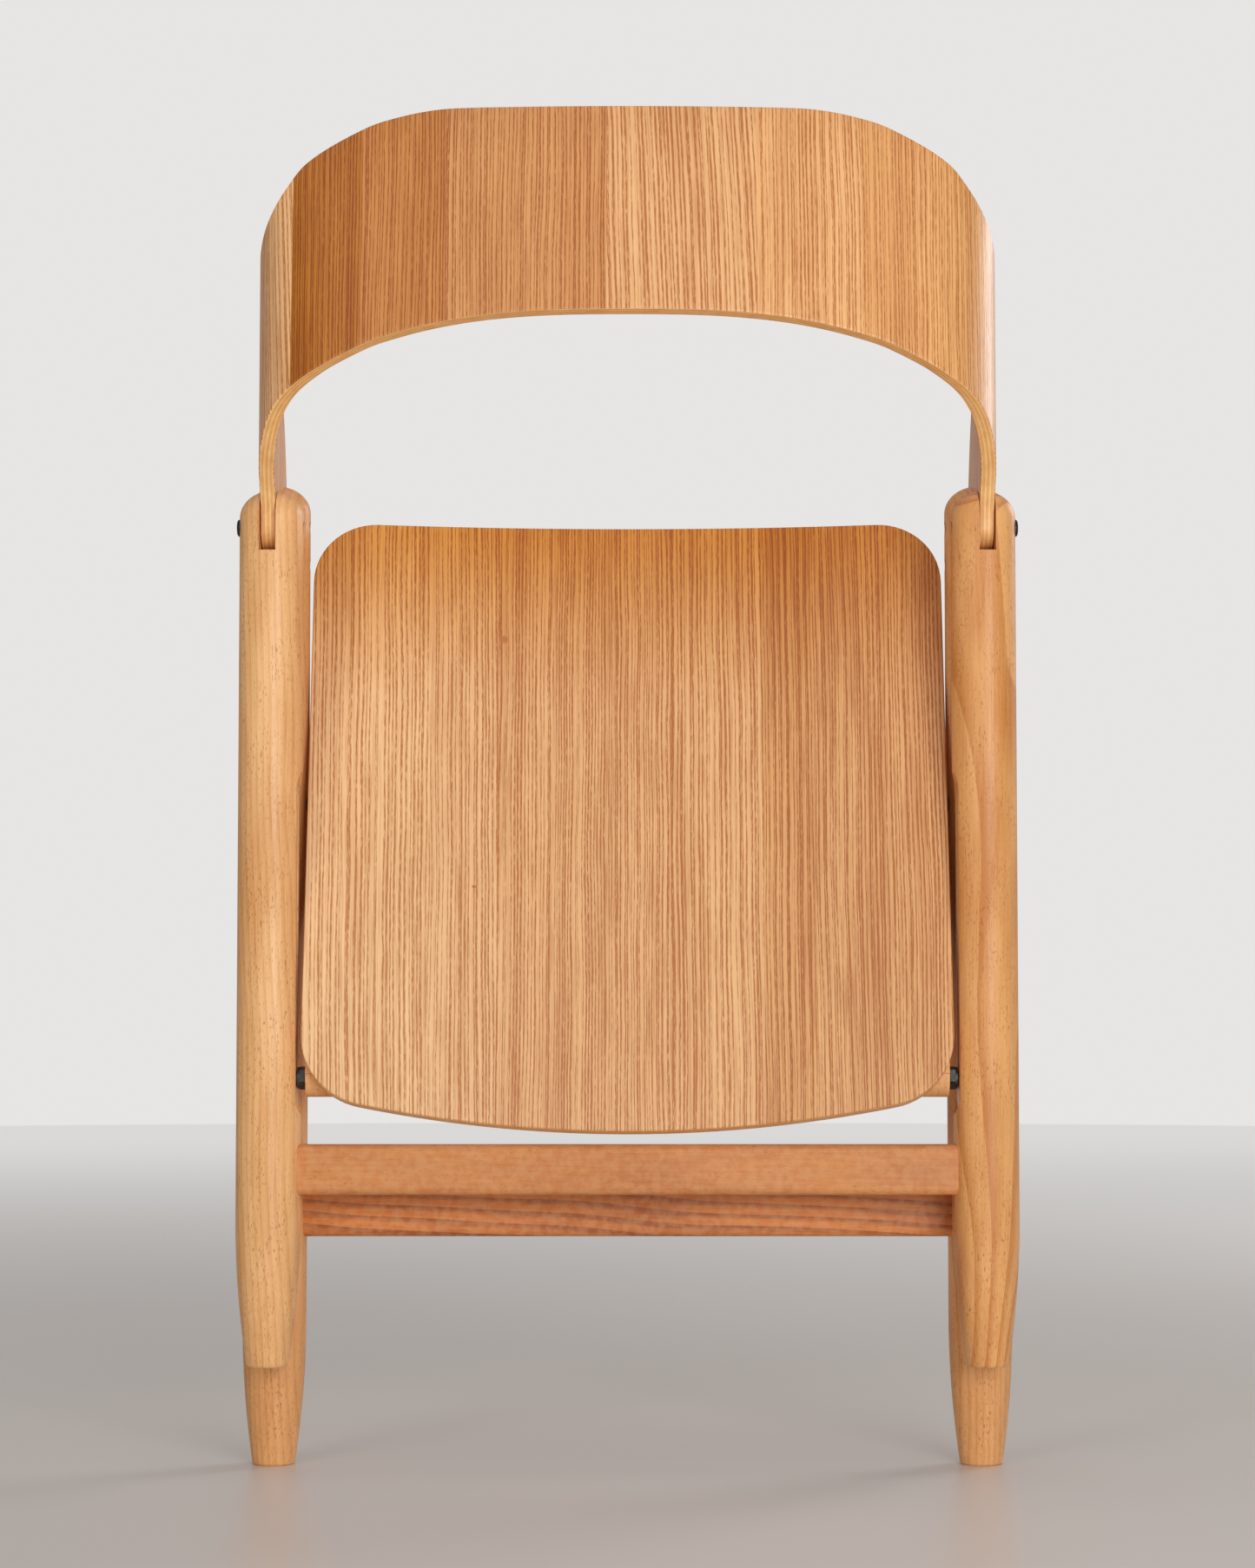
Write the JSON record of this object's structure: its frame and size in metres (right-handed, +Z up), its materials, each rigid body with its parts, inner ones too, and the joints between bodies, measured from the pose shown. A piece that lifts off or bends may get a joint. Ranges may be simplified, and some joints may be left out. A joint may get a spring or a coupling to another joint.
{
  "type": "folding chair",
  "caption": "Folding chair with round tapered beech legs, a moulded plywood wrap-round back and a dished seat that folds flat between the legs.",
  "frame": {"origin": "on the floor under the middle of the folded chair, which stands on its front legs", "axes": "+Z up along the legs, +Y the way a sitter faces, +X to the sitter's right"},
  "size_m": [0.5388, 0.2157, 0.9216],
  "materials": {
    "beech": "satin lacquered beech, warm orange brown",
    "dowel_beech": "raw beech",
    "back_veneer": "satin lacquered oak veneer, golden brown",
    "seat_veneer": "satin lacquered oak veneer, golden",
    "black_steel": "blackened steel",
    "zinc_steel": "zinc plated",
    "bush_nylon": "black nylon"
  },
  "bodies": {
    "front_frame": {"arm_bolts_left": "black_steel", "arm_bolts_right": "black_steel", "arm_nuts_left": "black_steel", "arm_nuts_right": "black_steel", "backrest": "back_veneer", "front_leg_left": "beech", "front_leg_right": "beech", "front_stretcher": "beech", "front_stretcher_dowels": "dowel_beech", "pivot_bolt_left": "black_steel", "pivot_bolt_right": "black_steel", "pivot_nut_left": "black_steel", "pivot_nut_right": "black_steel", "seat_spacer_left": "black_steel", "seat_spacer_right": "black_steel"},
    "rear_frame": {"hinge_bolt_left": "black_steel", "hinge_bolt_right": "black_steel", "hinge_nut_left": "black_steel", "hinge_nut_right": "black_steel", "rear_leg_left": "beech", "rear_leg_right": "beech", "rear_stretcher": "beech", "rear_stretcher_dowels": "dowel_beech"},
    "seat": {"cleat_screws_left": "zinc_steel", "cleat_screws_right": "zinc_steel", "seat_cleat_left": "beech", "seat_cleat_right": "beech", "seat_panel": "seat_veneer", "slide_bolt_left": "black_steel", "slide_bolt_right": "black_steel", "slide_bush_left": "bush_nylon", "slide_bush_right": "bush_nylon", "slide_nut_left": "black_steel", "slide_nut_right": "black_steel", "slide_washer_left": "black_steel", "slide_washer_right": "black_steel"}
  },
  "joints": [
    {"name": "rear_fold", "type": "hinge", "parent": "front_frame", "child": "rear_frame", "pos_m": [0, 0.0101, 0.6468], "axis": [-1, 0, 0], "range_deg": [0, 48]},
    {"name": "seat_turn", "type": "hinge", "parent": "front_frame", "child": "seat", "pos_m": [0, 0.0581, 0.4575], "axis": [-1, 0, 0], "range_deg": [0, 96]}
  ],
  "couplings": [
    {"joint": "seat_turn", "follows": "rear_fold", "ratio": 2}
  ]
}
